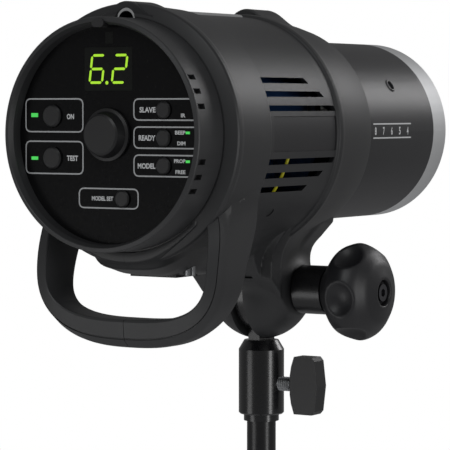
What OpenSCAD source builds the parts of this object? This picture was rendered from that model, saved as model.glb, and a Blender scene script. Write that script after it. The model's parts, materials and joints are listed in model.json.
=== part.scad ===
// Monolight studio strobe: casing halves, control panel, barrel, tilt hub and stand socket.
// Frame: origin at the mouth of the stand socket, +Y the way the light fires, +Z up,
// +X the side of the tilt knob.

/* [Head] */
// Length from the rear rim to the front ring
head_l = 279; // [275:1:290]
// Diameter of the front barrel
barrel_d = 100; // [98:0.5:101]
// Diameter of the rear rim
rim_d = 116; // [114:0.5:117]
// Diameter over the rear flange
flange_d = 131; // [129:0.5:133]
// Diameter of the waist between the two bands
waist_d = 123; // [122:0.5:124]
// Wall thickness of the casing
wall = 2.6; // [2.2:0.1:3]
// Depth of the panel below the rim
panel_depth = 8.4; // [7:0.1:9]

/* [Handle] */
// Width across the legs of the handle
handle_w = 110.4; // [106:0.2:112]
// Depth of the handle from back to front
handle_depth = 17; // [14:0.5:20]
// Drop of the handle's lowest point below the head's centre line
handle_drop = 107; // [104:0.5:110]

/* [Tilt hub] */
// Drop of the tilt axis below the head's centre line
tilt_drop = 84.7; // [84.5:0.1:88]
// Diameter of the ball-shaped hub
hub_d = 56; // [54:0.5:56]
// Diameter of the clamp knob
knob_d = 50.4; // [48:0.2:54]

/* [Stand socket] */
// Bore for a 16 mm (5/8 inch) stand spigot
bore_d = 16.2; // [16.1:0.05:16.4]
// Outer diameter of the socket
socket_d = 24.8; // [24:0.1:25.4]
// Length of the socket's cylinder
socket_h = 35.4; // [33:0.1:35.6]

/* [Controls] */
// Diameter of the energy dial
dial_d = 22; // [20:0.5:24]
// Diameter of the two large buttons
big_button_d = 11; // [10:0.5:12]
// Diameter of the four small buttons
small_button_d = 8.4; // [7.5:0.1:9]
// Travel room under each button's collar
button_travel = 1; // [0.8:0.1:1.2]

/* [Hidden] */

$fn = 96;
eps = 0.01;
lip_h = 3.7;
chamfer_h = 5.1;
chamfer_r = 9.4;
liner_r = 9.6;
socket_top = lip_h + socket_h + chamfer_h;
tilt_z = 72.8;
axis_z = tilt_z + tilt_drop;
rear_y = -155;
barrel_r = barrel_d / 2;
rim_r = rim_d / 2;
flange_r = flange_d / 2;
waist_r = waist_d / 2;
hub_r = hub_d / 2;
knob_r = knob_d / 2;
tongue_half = 3.5;
washer_t = 0.8;
cheek_gap = 4.6;
belly_half = 25;
hub_flat = 25.3;
tongue_r = 23.5;
stud_r = 5;
spacer_r = 13.1;
knob_x = 43.5;
knob_len = 33;
lock_z = 20.7;
lock_r = 4;
panel_r = rim_r - 4;
flange_y = 25;
waist_y0 = 61;
waist_y1 = 130;
collar_y = 176;
ring_len = 16.4;
tube_z = 57;
dome_z = 54.7;
plate_r = waist_r - 1.3;
flash_legs = 27;
tube_r = 6;
switch_z = 19;
sync_x = 19.6;
hidden_barrel_r = barrel_r - 1;

// Places a child that is drawn along +Z so that it runs forwards from a depth behind the rim
module along_y(depth) translate([0, rear_y + depth, axis_z]) rotate([-90, 0, 0]) children();

// The same at a place on the panel: x to the right, z up from the centre line
module on_panel(x, z, depth) translate([x, rear_y + depth, axis_z + z]) rotate([-90, 0, 0]) children();

// Places a child that is drawn along +Z so that it runs along +X through the tilt axis
module along_tilt(x) translate([x, 0, tilt_z]) rotate([0, 90, 0]) children();

// Ring with square edges
module ring(r_out, r_in, h) difference() {
    cylinder(r = r_out, h = h);
    translate([0, 0, -1]) cylinder(r = r_in, h = h + 2);
}

// Keeps the half of the children on one side of the middle plane: 1 is right, -1 is left
module half(side, from = 0) intersection() {
    children();
    translate([side > 0 ? from : -from - 200, -300, -100]) cube([200, 600, 500]);
}

// Outline of the casing from the rear flange to the front collar, as radius and depth
module casing_outline() polygon([[0, 22.5], [rim_r + 0.4, 22.5], [flange_r - 0.6, flange_y],
    [flange_r, flange_y + 1], [flange_r, flange_y + 3], [waist_r + 2, waist_y0 - 1],
    [waist_r, waist_y0 + 1], [waist_r, waist_y1], [waist_r + 1.5, waist_y1 + 2],
    [waist_r + 1.3, waist_y1 + 7], [barrel_r + 7.8, collar_y - 1.5], [barrel_r + 6.5, collar_y],
    [0, collar_y]]);

module casing_cavity() polygon([[0, 21], [rim_r - 2.4, 21], [rim_r - 2.4, 26],
    [waist_r - wall, 30], [waist_r - wall, waist_y1 + 8], [barrel_r + 4.6, collar_y - 4],
    [hidden_barrel_r + 0.1, collar_y - 4], [hidden_barrel_r + 0.1, collar_y + 1], [0, collar_y + 1]]);

module lathe_y() translate([0, rear_y, axis_z]) rotate([-90, 0, 0]) rotate_extrude() children();

// Side views of the neck and the belly, as y and height above the tilt axis
module neck_outline() polygon([[-45, 50], [-44, 26.7], [-41, 16.7], [-37, 10.7], [-31, 5.7], [-21, -3.3],
    [-10, -12], [14, -12], [19, 0], [21.4, 14], [20.9, 20], [20.9, 50]]);

// Plan of the neck: two raised straps at the front and a narrower web behind them
module neck_plan() for (side = [0, 1]) mirror([side, 0, 0]) polygon([[0, -60], [19, -60], [19.5, -33],
    [25, -31.5], [25, -21], [23, -17], [20.6, 15], [19.4, 30], [0, 30]]);

module belly_outline() polygon([[-128, 50], [-128, 18], [-117, 14], [-100, 11.7], [-55, 11.3],
    [-49, 13], [-46, 16], [-43, 50]]);

module side_prism(x_half) translate([-x_half, 0, tilt_z]) rotate([90, 0, 90])
    linear_extrude(2 * x_half) children();

// Top lugs that carry the umbrella tube
module lugs() for (lug = [[23.5, 52], [137, 163]])
    translate([-9.5, rear_y + lug[0], axis_z + 52]) cube([19, lug[1] - lug[0], 14.2]);

// Long cooling slots in the waist, cut right through from side to side.
// Each slot: middle height, length, and the side its slanted front end leans to
module waist_slots() for (slot = [[27.1, 45.9, 1], [20.2, 57.4, 1], [13, 67.4, 0.4], [-13.9, 66.9, -0.4],
    [-20.8, 56.9, -1], [-28, 45.4, -1]])
    translate([-80, rear_y + waist_y0 + 0.6, axis_z + slot[0]]) rotate([90, 0, 90])
        linear_extrude(160) polygon([[0, -1.4], [slot[1] + 1.4 * slot[2], -1.4],
            [slot[1] - 1.4 * slot[2], 1.4], [0, 1.4]]);

module casing() difference() {
    union() {
        lathe_y() casing_outline();
        intersection() {
            side_prism(30) neck_outline();
            translate([0, 0, tilt_z - 30]) linear_extrude(90) neck_plan();
        }
        side_prism(belly_half) belly_outline();
        intersection() {
            translate([0, 0, tilt_z]) sphere(r = hub_r);
            translate([-hub_flat, -40, tilt_z - 40]) cube([2 * hub_flat, 80, 80]);
        }
        lugs();
    }
    lathe_y() casing_cavity();
    // room inside the belly for the inlet
    translate([-22.5, rear_y + 44, axis_z - 70.5]) cube([45, 36, 20]);
    translate([-14, rear_y + 48, axis_z - 76]) cube([28, 20.2, 10]);
    translate([-8.1, rear_y + 68, axis_z - 76]) cube([16.2, 6.6, 10]);
    along_tilt(-60) cylinder(r = stud_r + 0.05, h = 120);
    along_tilt(-60) cylinder(r = 9, h = 60 - 16);
    along_tilt(-cheek_gap) cylinder(r = tongue_r + 0.6, h = 2 * cheek_gap);
    // the tongue's root swings through this slot as the head tilts
    translate([-cheek_gap, -60, tilt_z - 60]) cube([2 * cheek_gap, 100, 60]);
    translate([-cheek_gap, 0, tilt_z - 1]) cube([2 * cheek_gap, 40, 13]);
    along_y(20) translate([0, -tube_z, 0]) cylinder(r = tube_r + 0.05, h = 170);
    waist_slots();
    side_plates(plate_r, 0.05);
    screw_seats(0.1, 12);
    translate([sync_x, rear_y + 52, axis_z - 82]) cylinder(r = 3.15, h = 30);
}

// Casing screws on each side, as depth, angle below the horizontal and radius of the seat
SCREW_PLACES = [[44.2, 32.8, 61.6], [86, 41, 59.6]];
module screw_seats(slack, h) for (place = SCREW_PLACES, side = [0, 180])
    along_y(place[0]) rotate([0, 0, side == 0 ? place[1] : 180 - place[1]]) rotate([0, 90, 0])
        translate([0, 0, place[2]]) cylinder(r = 2.5 + slack, h = h, $fn = 32);

module casing_left() color("#2b2c2e") half(-1) casing();
module casing_right() color("#2b2c2e") half(1) casing();

// Point on a superellipse about the handle's centre
function loop_point(a, b, n, t) = let (c = cos(t), s = sin(t))
    [a * sign(c) * pow(abs(c), 2 / n), b * sign(s) * pow(abs(s), 2 / n)];
loop_z = -65;
module loop_outline(a, b, n) translate([0, loop_z]) union() {
    polygon([for (i = [0:40]) loop_point(a, b, n, 180 + i * 4.5)]);
    translate([-a, -eps]) square([2 * a, 40]);
}

module handle() difference() {
    intersection() {
        translate([0, rear_y + 66, axis_z]) rotate([90, 0, 0]) linear_extrude(50) difference() {
            loop_outline(handle_w / 2, handle_drop + loop_z, 2.6);
            loop_outline(handle_w / 2 - 8.4, 27.4, 4);
        }
        // side view: the legs grow deeper towards the casing, and their rear face bulges a little
        translate([-70, rear_y + 21, axis_z]) rotate([90, 0, 90]) linear_extrude(140) polygon([[0, -120],
            [handle_depth, -120], [handle_depth + 0.5, -94], [handle_depth + 5, -84], [handle_depth + 10, -72],
            [handle_depth + 16, -58], [39.4, -46], [39.4, 0], [4, 0], [4, -44], [0, -63], [-1.4, -80],
            [-0.8, -94]]);
    }
    lathe_y() offset_outline();
    along_y(0) cylinder(r = rim_r + 0.4, h = 24);
    translate([-100, rear_y, axis_z - 38]) cube([200, 100, 100]);
}

// Straight-sided copy of the casing's rear band, which the handle stands against
module offset_outline() polygon([[0, 20], [rim_r + 0.6, 22.4], [flange_r - 0.5, flange_y - 0.1],
    [flange_r + 0.05, flange_y + 0.9], [flange_r + 0.05, flange_y + 3.1], [waist_r + 2.05, waist_y0],
    [0, waist_y0]]);

module handle_left() color("#2b2c2e") half(-1) handle();
module handle_right() color("#2b2c2e") half(1) handle();

module rear_bezel() color("#303133") difference() {
    lathe_y() polygon([[panel_r + 0.3, 3], [rim_r - 2.5, 0.25], [rim_r - 2.2, 0], [rim_r - 0.35, 0.7],
        [rim_r, 1.3], [rim_r, 22.5], [rim_r - 2.4, 22.5], [rim_r - 2.4, 14], [panel_r - 3, 14],
        [panel_r - 3, panel_depth + 2], [panel_r + 0.05, panel_depth + 2], [panel_r + 0.05, panel_depth]]);
    for (angle = [14, 21.6, 29, -12.7, -20.3, -27.7, 166, 158.4, 151, -167.3, -159.7, -152.3])
        along_y(2.2) rotate([0, 0, -angle]) translate([rim_r - 2.8, -1.4, 0]) cube([12, 2.8, 6]);
    dome_shape(0.05, 6);
}

// Places on the panel: x and z of each button, and x, z, width and height of each lamp
BIG_BUTTONS = [[-33.6, 9.2], [-33.6, -11.8]];
SMALL_BUTTONS = [[32.8, 12.2], [32.8, -1.4], [32.8, -15], [8.6, -31.5]];
LAMPS = [[-44.8, 9.6, 4, 2], [-44.8, -12, 4, 1.6], [46.6, 1.2, 2.2, 1.2], [46.6, -12.7, 2.2, 1.2]];

module control_panel() color("#0b0b0c") difference() {
    along_y(panel_depth) cylinder(r = panel_r, h = 2);
    on_panel(0, 0, panel_depth - 1) cylinder(r = 3.4, h = 4);
    for (place = BIG_BUTTONS)
        on_panel(place[0], place[1], panel_depth - 1) cylinder(r = big_button_d / 2 + 0.3, h = 4);
    for (place = SMALL_BUTTONS)
        on_panel(place[0], place[1], panel_depth - 1) cylinder(r = small_button_d / 2 + 0.3, h = 4);
    lamp_blocks(panel_depth - 1, 4, 0.05);
    translate([-14.4, rear_y + panel_depth - 1, axis_z + 21.6]) cube([28.8, 4, 21.6]);
    translate([-1.8, rear_y + panel_depth - 1, axis_z + 44.75]) cube([4.6, 4, 5.9]);
}

module display_window() color("#101510")
    translate([-14.3, rear_y + panel_depth, axis_z + 21.7]) cube([28.6, 1.6, 21.4]);

module display_module() color("#1c1f1c")
    translate([-14, rear_y + panel_depth + 2.2, axis_z + 21.9]) cube([28, 5, 21]);

module infrared_window() color("#220d10")
    translate([-1.75, rear_y + panel_depth, axis_z + 44.8]) cube([4.5, 1.6, 5.8]);

module energy_dial() color("#1a1a1b") {
    along_y(panel_depth - 7.8) difference() {
        rotate_extrude() polygon([[0, 0], [dial_d / 2 - 1.8, 0], [dial_d / 2 - 0.8, 0.8],
            [dial_d / 2 + 0.6, 5.4], [dial_d / 2 + 2, 6], [dial_d / 2 + 2, 7.4], [0, 7.4]]);
        translate([0, 0, 2]) cylinder(r = 3.05, h = 7);
    }
}

module dial_shaft() color("#8d9094") along_y(panel_depth - 5.7) cylinder(r = 3, h = 11.2);

module dial_encoder() color("#5d6064") along_y(panel_depth + 3) difference() {
    cylinder(r = 6.5, h = switch_z - panel_depth - 3.1);
    translate([0, 0, -1]) cylinder(r = 3.05, h = 5);
}

// Cap with a collar that keeps it behind the panel
module button(place, r, proud) {
    on_panel(place[0], place[1], panel_depth - proud) rotate_extrude() polygon([[0, 0],
        [r - 0.7, 0], [r, 0.7], [r, proud + 2.2], [r + 1.1, proud + 2.2], [r + 1.1, proud + 3.2],
        [1.6, proud + 3.2], [1.6, proud + 5.2], [0, proud + 5.2]]);
}

module on_button() color("#202123") button(BIG_BUTTONS[0], big_button_d / 2, 1.8);
module test_button() color("#202123") button(BIG_BUTTONS[1], big_button_d / 2, 1.8);
module slave_button() color("#202123") button(SMALL_BUTTONS[0], small_button_d / 2, 1.6);
module ready_button() color("#202123") button(SMALL_BUTTONS[1], small_button_d / 2, 1.6);
module model_button() color("#202123") button(SMALL_BUTTONS[2], small_button_d / 2, 1.6);
module model_set_button() color("#202123") button(SMALL_BUTTONS[3], small_button_d / 2, 1.6);

module lamp_blocks(depth, h, slack) for (place = LAMPS)
    translate([place[0] - place[2] / 2 - slack, rear_y + depth, axis_z + place[1] - place[3] / 2 - slack])
        cube([place[2] + 2 * slack, h, place[3] + 2 * slack]);

module indicator_lamps() color("#3fd35a") lamp_blocks(panel_depth - 0.3, 6, 0);

module key_switches() color("#6d7074") for (place = concat(BIG_BUTTONS, SMALL_BUTTONS))
    translate([place[0] - 3, rear_y + panel_depth + 5.2 + button_travel + 0.3, axis_z + place[1] - 3])
        cube([6, switch_z - panel_depth - 6.5, 6]);

module control_board() color("#1e5a38") along_y(switch_z) cylinder(r = panel_r - 6, h = 1.6);

// Small oval light sensor set in the top of the rim
module dome_shape(slack, h) {
    for (x = [-1.5, 1.5]) on_panel(x, dome_z, -0.8) cylinder(r = 2 + slack, h = h);
    translate([-1.5, rear_y - 0.8, axis_z + dome_z - 2 - slack]) cube([3, h, 4 + 2 * slack]);
}
module sensor_dome() color("#141416") dome_shape(0, 5);

module umbrella_tube() color("#b9bcc0") along_y(24) translate([0, -tube_z, 0]) ring(tube_r, 4.5, 138);

// Curved blank plates in a shallow recess of the waist
module side_plates(r_in, slack) for (side = [0, 180]) along_y(waist_y1 - 64.5 - slack)
    rotate([0, 0, side - 8.3 - slack]) rotate_extrude(angle = 16.6 + 2 * slack)
        translate([r_in - slack, 0]) square([3, 63 + 2 * slack]);

module side_plate(side) half(side) difference() {
    side_plates(plate_r, 0);
    lathe_y() polygon([[waist_r - 0.4, 0], [70, 0], [70, 150], [waist_r - 0.4, 150]]);
}
module side_plate_left() color("#3a3b3d") side_plate(-1);
module side_plate_right() color("#3a3b3d") side_plate(1);

module front_barrel() color("#26272a") difference() {
    lathe_y() polygon([[barrel_r - 3, 150], [hidden_barrel_r, 150], [hidden_barrel_r, collar_y + 0.1],
        [barrel_r, collar_y + 0.1], [barrel_r, head_l - ring_len], [barrel_r - 3, head_l - ring_len]]);
    barrel_screw_cuts(0.02);
}

module barrel_screw_cuts(slack) for (angle = [30.7, 149.3]) along_y(222.6)
    rotate([0, 0, -angle]) rotate([0, 90, 0])
        translate([0, 0, barrel_r - 6]) cylinder(r = 2.4 + slack, h = 10, $fn = 32);

module barrel_screws() color("#5b5e62") intersection() {
    barrel_screw_cuts(0);
    lathe_y() polygon([[barrel_r - 4, 200], [barrel_r - 0.8, 200], [barrel_r - 0.8, 240],
        [barrel_r - 4, 240]]);
}

module front_ring() color("#a9adb1") lathe_y() polygon([[barrel_r - 3.4, head_l - ring_len],
    [barrel_r, head_l - ring_len], [barrel_r, head_l - 1], [barrel_r - 1, head_l],
    [barrel_r - 2.4, head_l], [barrel_r - 3.4, head_l - 1]]);

module front_glass() color("#dfe6ea") lathe_y() polygon([[0, head_l - 6], [barrel_r - 3.45, head_l - 9],
    [barrel_r - 3.45, head_l - 12], [0, head_l - 9]]);

module reflector_bowl() color("#c9cdd1") difference() {
    lathe_y() polygon([[20, 212], [21.5, 212], [38, 232], [46.4, 262], [46.4, 264], [45.4, 264],
        [36.8, 232.6], [20, 213.4]]);
    for (side = [-1, 1])
        along_y(200) translate([side * flash_legs, 0, 0]) cylinder(r = 3, h = 40, $fn = 32);
}

module heat_shield() color("#a7aab0") along_y(205) ring(46, 17, 2);

module lamp_socket() color("#e4e0d6") along_y(186) cylinder(r = 15, h = 30);

module flash_tube() color("#e9eef2") {
    along_y(236) rotate_extrude() translate([flash_legs, 0]) circle(r = 3.2, $fn = 32);
    for (side = [-1, 1])
        along_y(207.1) translate([side * flash_legs, 0, 0]) cylinder(r = 2.6, h = 29, $fn = 32);
}

module modelling_lamp() color("#f4f1e4") along_y(216.1) rotate_extrude()
    polygon([[0, 0], [8, 0], [8, 8], [10.5, 16], [10.5, 30], [7.5, 36], [0, 38]]);

// Places of the capacitors across the casing, as x and z
CAPACITORS = [[-20, 14], [20, 14], [0, -22]];
module capacitor_bank() color("#23385a") for (place = CAPACITORS)
    along_y(62) translate([place[0], -place[1], 0]) cylinder(r = 17.5, h = 78, $fn = 64);

module capacitor_clamp() color("#8f9398") difference() {
    along_y(140) cylinder(r = 44, h = 3);
    for (place = CAPACITORS)
        along_y(139) translate([place[0], -place[1], 0]) cylinder(r = 6, h = 5, $fn = 32);
}

module transformer() color("#6b4a2a") translate([-20, rear_y + 26, axis_z - 18]) cube([40, 30, 36]);

module power_board() color("#1e5a38") translate([-38, rear_y + 60, axis_z - 43]) cube([76, 80, 1.6]);

// Square fan frame with three spokes that carry the rotor's spindle
module fan_frame() color("#1d1e20") along_y(152) {
    difference() {
        translate([-30, -30, 0]) cube([60, 60, 15]);
        translate([0, 0, -1]) cylinder(r = 27.5, h = 17);
    }
    cylinder(r = 10, h = 1.6);
    for (spoke = [0:2]) rotate([0, 0, spoke * 120 + 30]) translate([5, -1.5, 0]) cube([24, 3, 1.6]);
    cylinder(r = 1.15, h = 8);
}

module fan_rotor() color("#2a2b2e") along_y(154) difference() {
    union() {
        cylinder(r = 11, h = 12);
        for (blade = [0:6]) rotate([0, 0, blade * 360 / 7]) translate([0, 0.6, 1])
            rotate([12, 0, 0]) cube([26.4, 1.6, 9]);
    }
    translate([0, 0, -1]) cylinder(r = 1.2, h = 8);
}

// Appliance inlet in the belly, facing down
module mains_inlet() color("#161617") difference() {
    union() {
        translate([-13.9, rear_y + 48.1, axis_z - 72.6]) cube([27.8, 20, 18]);
        translate([-16, rear_y + 46.5, axis_z - 70.4]) cube([32, 30, 1.6]);
    }
    translate([-12, rear_y + 50, axis_z - 80]) cube([24, 16.4, 22]);
}

module fuse_drawer() color("#222325") translate([-8, rear_y + 68.3, axis_z - 72.6]) cube([16, 6.2, 2.1]);

module sync_socket() color("#9da1a6") translate([sync_x, rear_y + 52, axis_z - 71.5]) ring(3.1, 1.8, 10.5);

// Captive nut and washer in the left cheek
module tilt_nut() color("#8e9296") along_tilt(-22.4) difference() {
    cylinder(r = 8.4, h = 6.3, $fn = 6);
    translate([0, 0, -1]) cylinder(r = stud_r + 0.05, h = 9);
}

module knob_spacer() color("#17181a") along_tilt(hub_flat + 0.3) difference() {
    rotate_extrude() polygon([[0, 0], [spacer_r - 0.8, 0], [spacer_r, 0.8],
        [spacer_r, knob_x - hub_flat - 0.7], [0, knob_x - hub_flat - 0.7]]);
    translate([0, 0, -1]) cylinder(r = stud_r + 0.05, h = 40);
}

module tilt_stud() color("#9aa0a6") along_tilt(-21) cylinder(r = stud_r, h = knob_x + 21 + 20);

// Clamp knob with six round finger scallops in its side
module tilt_knob() color("#1b1c1e") along_tilt(knob_x) difference() {
    rotate_extrude() polygon([[0, 0], [12.6, 0], [15.5, 2.5], [knob_r - 4.7, 7], [knob_r - 1.4, 12],
        [knob_r, 18.6], [knob_r - 1.6, 24], [knob_r - 5.7, 28.5], [13.5, 31.5], [8, knob_len], [0, knob_len]]);
    for (scallop = [0:5]) rotate([0, 0, scallop * 60 - 80]) translate([knob_r + 6.5, 0, 15.6]) sphere(r = 11);
    translate([0, 0, -1]) cylinder(r = stud_r + 0.01, h = 21.02);
    translate([0, 0, knob_len - 4]) cylinder(r = 6.5, h = 5);
    translate([0, 0, 15]) cylinder(r = 2.5, h = 20);
}

module knob_end_screw() color("#3a3c3f") along_tilt(knob_x + 20) union() {
    translate([0, 0, 0.1]) cylinder(r = 2.4, h = 9);
    difference() {
        translate([0, 0, 9.1]) cylinder(r = 4.6, h = 2.6);
        translate([0, 0, 10.2]) cylinder(r = 2.3, h = 3, $fn = 6);
    }
}

module friction_washers() color("#4a4238") for (side = [0, 1]) mirror([side, 0, 0])
    along_tilt(tongue_half) ring(20, stud_r + 0.3, washer_t);

// Socket with the tongue that stands between the cheeks
module socket_body() color("#141516") difference() {
    union() {
        translate([0, 0, lip_h]) rotate_extrude() polygon([[0, 0.8], [socket_d / 2 - 0.8, 0],
            [socket_d / 2, 0.8], [socket_d / 2, socket_h], [chamfer_r, socket_h + chamfer_h],
            [0, socket_h + chamfer_h]]);
        along_tilt(-tongue_half) cylinder(r = tongue_r, h = 2 * tongue_half);
        translate([-tongue_half, -8, socket_top - 4]) cube([2 * tongue_half, 16, 12]);
    }
    translate([0, 0, -1]) cylinder(r = liner_r, h = 36);
    along_tilt(-10) cylinder(r = stud_r + 0.05, h = 20);
    translate([4, 0, lock_z]) rotate([0, 90, 0]) cylinder(r = lock_r + 0.05, h = 20);
}

module socket_liner() color("#1d1e20") difference() {
    ring(liner_r, bore_d / 2, 35);
    translate([4, 0, lock_z]) rotate([0, 90, 0]) cylinder(r = lock_r + 0.05, h = 20);
}

// Brass pad that the lock screw pushes against the spigot
module pressure_pad() color("#b08d4a") translate([bore_d / 2, 0, lock_z]) rotate([0, 90, 0])
    translate([0, 0, 0.05]) cylinder(r = lock_r, h = 1.75);

module lock_stud() color("#a2a6ab") translate([bore_d / 2 + 2.1, 0, lock_z]) rotate([0, 90, 0])
    cylinder(r = lock_r, h = 17);

wing_x = 20.8;
wing_len = 17;
wing_h = 31.2;
wing_t = 10;
module wing_knob() color("#1a1b1c") translate([wing_x, 0, lock_z]) rotate([90, 0, 0]) difference() {
    translate([0, 0, -wing_t / 2]) linear_extrude(wing_t) polygon([[2.6, -wing_h / 2],
        [wing_len - 3.4, -wing_h / 2], [wing_len - 1.6, -wing_h / 2 + 2], [wing_len, 0],
        [wing_len - 1.6, wing_h / 2 - 2], [wing_len - 3.4, wing_h / 2], [2.6, wing_h / 2],
        [0.8, wing_h / 2 - 5.5], [0, 5], [0, -5], [0.8, -wing_h / 2 + 5.5]]);
    translate([-1, 0, 0]) rotate([0, 90, 0]) cylinder(r = lock_r + 0.01, h = 7.5);
}

module casing_screws() color("#55585c") screw_seats(0, 1.2);

casing_left();
casing_right();
handle_left();
handle_right();
rear_bezel();
control_panel();
display_window();
display_module();
energy_dial();
dial_shaft();
dial_encoder();
on_button();
test_button();
slave_button();
ready_button();
model_button();
model_set_button();
indicator_lamps();
infrared_window();
sensor_dome();
control_board();
key_switches();
umbrella_tube();
side_plate_left();
side_plate_right();
front_barrel();
front_ring();
front_glass();
reflector_bowl();
flash_tube();
modelling_lamp();
lamp_socket();
heat_shield();
capacitor_bank();
capacitor_clamp();
transformer();
power_board();
fan_frame();
fan_rotor();
mains_inlet();
fuse_drawer();
sync_socket();
tilt_nut();
knob_spacer();
tilt_stud();
tilt_knob();
knob_end_screw();
friction_washers();
socket_body();
socket_liner();
pressure_pad();
lock_stud();
wing_knob();
casing_screws();
barrel_screws();
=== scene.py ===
"""Looks of a monolight studio strobe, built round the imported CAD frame.

Lengths in this script are in millimetres in the head's own frame: x to the tilt knob's side,
y forwards from the rear rim's plane, z up from the centre line of the head.
"""

import json
import math

import bmesh
import bpy
import numpy as np
import openvdb
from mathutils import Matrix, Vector


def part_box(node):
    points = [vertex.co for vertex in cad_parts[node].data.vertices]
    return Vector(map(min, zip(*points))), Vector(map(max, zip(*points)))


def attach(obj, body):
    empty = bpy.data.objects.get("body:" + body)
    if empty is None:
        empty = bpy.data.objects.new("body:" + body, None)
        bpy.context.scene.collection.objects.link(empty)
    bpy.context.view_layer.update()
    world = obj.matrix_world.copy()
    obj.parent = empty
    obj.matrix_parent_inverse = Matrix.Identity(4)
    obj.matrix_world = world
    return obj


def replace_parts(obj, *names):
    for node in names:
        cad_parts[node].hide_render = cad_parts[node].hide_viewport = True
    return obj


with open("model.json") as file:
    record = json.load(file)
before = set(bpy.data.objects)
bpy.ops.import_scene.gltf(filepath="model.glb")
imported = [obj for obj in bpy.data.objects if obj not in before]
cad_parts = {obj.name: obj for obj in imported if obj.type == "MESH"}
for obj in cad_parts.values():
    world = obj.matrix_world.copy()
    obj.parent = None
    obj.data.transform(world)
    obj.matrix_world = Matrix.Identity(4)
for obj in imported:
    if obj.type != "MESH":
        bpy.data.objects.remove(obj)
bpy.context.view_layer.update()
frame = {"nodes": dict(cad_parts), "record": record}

# ---------------------------------------- places read from the frame
MM = 0.001
_ring_low, _ring_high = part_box("front_ring")
_panel_low, _panel_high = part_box("control_panel")
_knob_low, _knob_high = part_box("tilt_knob")
_spacer_low, _spacer_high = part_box("knob_spacer")
AXIS_Z = (_ring_low.z + _ring_high.z) / 2
PANEL_DEPTH = 8.4
REAR_Y = _panel_low.y - PANEL_DEPTH * MM
TILT_DROP = (AXIS_Z - (_spacer_low.z + _spacer_high.z) / 2) / MM
TILT_Y = -REAR_Y / MM
BARREL_R = (_ring_high.x - _ring_low.x) / 2 / MM
PANEL_R = (_panel_high.x - _panel_low.x) / 2 / MM
FLANGE_R = 65.4
WAIST_R = 61.5
# Points closer than this, in metres, are one point
SAME_POINT = 1e-7


def head(x, y, z):
    """Row-frame place, in metres, of a point of the head's frame in millimetres."""
    return Vector((x * MM, REAR_Y + y * MM, AXIS_Z + z * MM))


# ---------------------------------------- mesh helpers
def add_mesh(name, points, faces, body, slot, sharp=32):
    """Adds one piece from points in millimetres; edges over `sharp` degrees are kept hard."""
    mesh = bpy.data.meshes.new(name)
    mesh.from_pydata([head(*p) for p in points], [], faces)
    obj = bpy.data.objects.new(name, mesh)
    bpy.context.scene.collection.objects.link(obj)
    tidy(mesh, sharp)
    dress(obj, body, slot)
    return obj


def tidy(mesh, sharp=32):
    """Joins doubled points, turns the faces outwards and sets smooth and hard edges by angle."""
    bm = bmesh.new()
    bm.from_mesh(mesh)
    bmesh.ops.remove_doubles(bm, verts=bm.verts, dist=SAME_POINT)
    bmesh.ops.recalc_face_normals(bm, faces=bm.faces)
    for face in bm.faces:
        face.smooth = True
    for edge in bm.edges:
        edge.smooth = len(edge.link_faces) == 2 and edge.calc_face_angle(0) < math.radians(sharp)
    bm.to_mesh(mesh)
    bm.free()


def dress(obj, body, slot):
    """Gives a piece its material and its body."""
    obj.data.materials.clear()
    obj.data.materials.append(MATERIALS[slot])
    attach(obj, body)


def bevel(obj, width):
    """Rounds the hard edges of a piece by `width` millimetres."""
    mod = obj.modifiers.new("rounded_edges", "BEVEL")
    mod.width = width * MM
    mod.segments = 3
    mod.limit_method = "ANGLE"
    mod.angle_limit = math.radians(35)
    mod.harden_normals = False


def loops_to_mesh(loops, closed_ring=True, closed_path=False, caps=True):
    """Points and faces of a skin stretched over equal loops of points."""
    count = len(loops[0])
    points = [p for loop in loops for p in loop]
    faces = []
    rows = len(loops)
    for i in range(rows if closed_path else rows - 1):
        a, b = i * count, (i + 1) % rows * count
        for j in range(count if closed_ring else count - 1):
            k = (j + 1) % count
            faces.append((a + j, a + k, b + k, b + j))
    if caps and not closed_path and closed_ring:
        faces.append(tuple(range(count)))
        faces.append(tuple(range((rows - 1) * count, rows * count))[::-1])
    return points, faces


def lathe(profile, segments=192, start=0.0, sweep=360.0, place=None):
    """Points and faces of a closed (depth, radius) profile turned round the head's axis."""
    place = place or (lambda depth, r, a: (r * math.sin(a), depth, r * math.cos(a)))
    full = sweep >= 360
    steps = segments if full else segments + 1
    loops = []
    for i in range(steps):
        angle = math.radians(start + sweep * i / segments)
        loops.append([place(depth, r, angle) for depth, r in profile])
    return loops_to_mesh(loops, closed_path=full)


def round_corners(points, radii, steps=4):
    """A polyline's corners replaced by arcs: radii[i] is the radius at points[i], 0 keeps it sharp."""
    out = []
    count = len(points)
    for i, (p, r) in enumerate(zip(points, radii)):
        if r == 0:
            out.append(tuple(p))
            continue
        p = Vector(p)
        before = (Vector(points[i - 1]) - p)
        after = (Vector(points[(i + 1) % count]) - p)
        half = before.angle(after) / 2
        cut = min(r / math.tan(half), before.length * 0.49, after.length * 0.49)
        start, end = p + before.normalized() * cut, p + after.normalized() * cut
        for s in range(steps + 1):
            t = s / steps
            out.append(tuple(start * (1 - t) ** 2 + p * 2 * t * (1 - t) + end * t * t))
    return out


def prism(outline, x0, x1):
    """Points and faces of a (y, z) outline pulled from x0 to x1."""
    return loops_to_mesh([[(x, y, z) for y, z in outline] for x in (x0, x1)])


def disc_prism(start, direction, r, length, sides=48):
    """Points and faces of a cylinder from a start point along a direction."""
    axis = Vector(direction).normalized()
    side = axis.orthogonal().normalized()
    other = axis.cross(side)
    loops = []
    for along in (0, length):
        centre = Vector(start) + axis * along
        loops.append([tuple(centre + (side * math.cos(a) + other * math.sin(a)) * r)
                      for a in (2 * math.pi * i / sides for i in range(sides))])
    return loops_to_mesh(loops)


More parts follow.
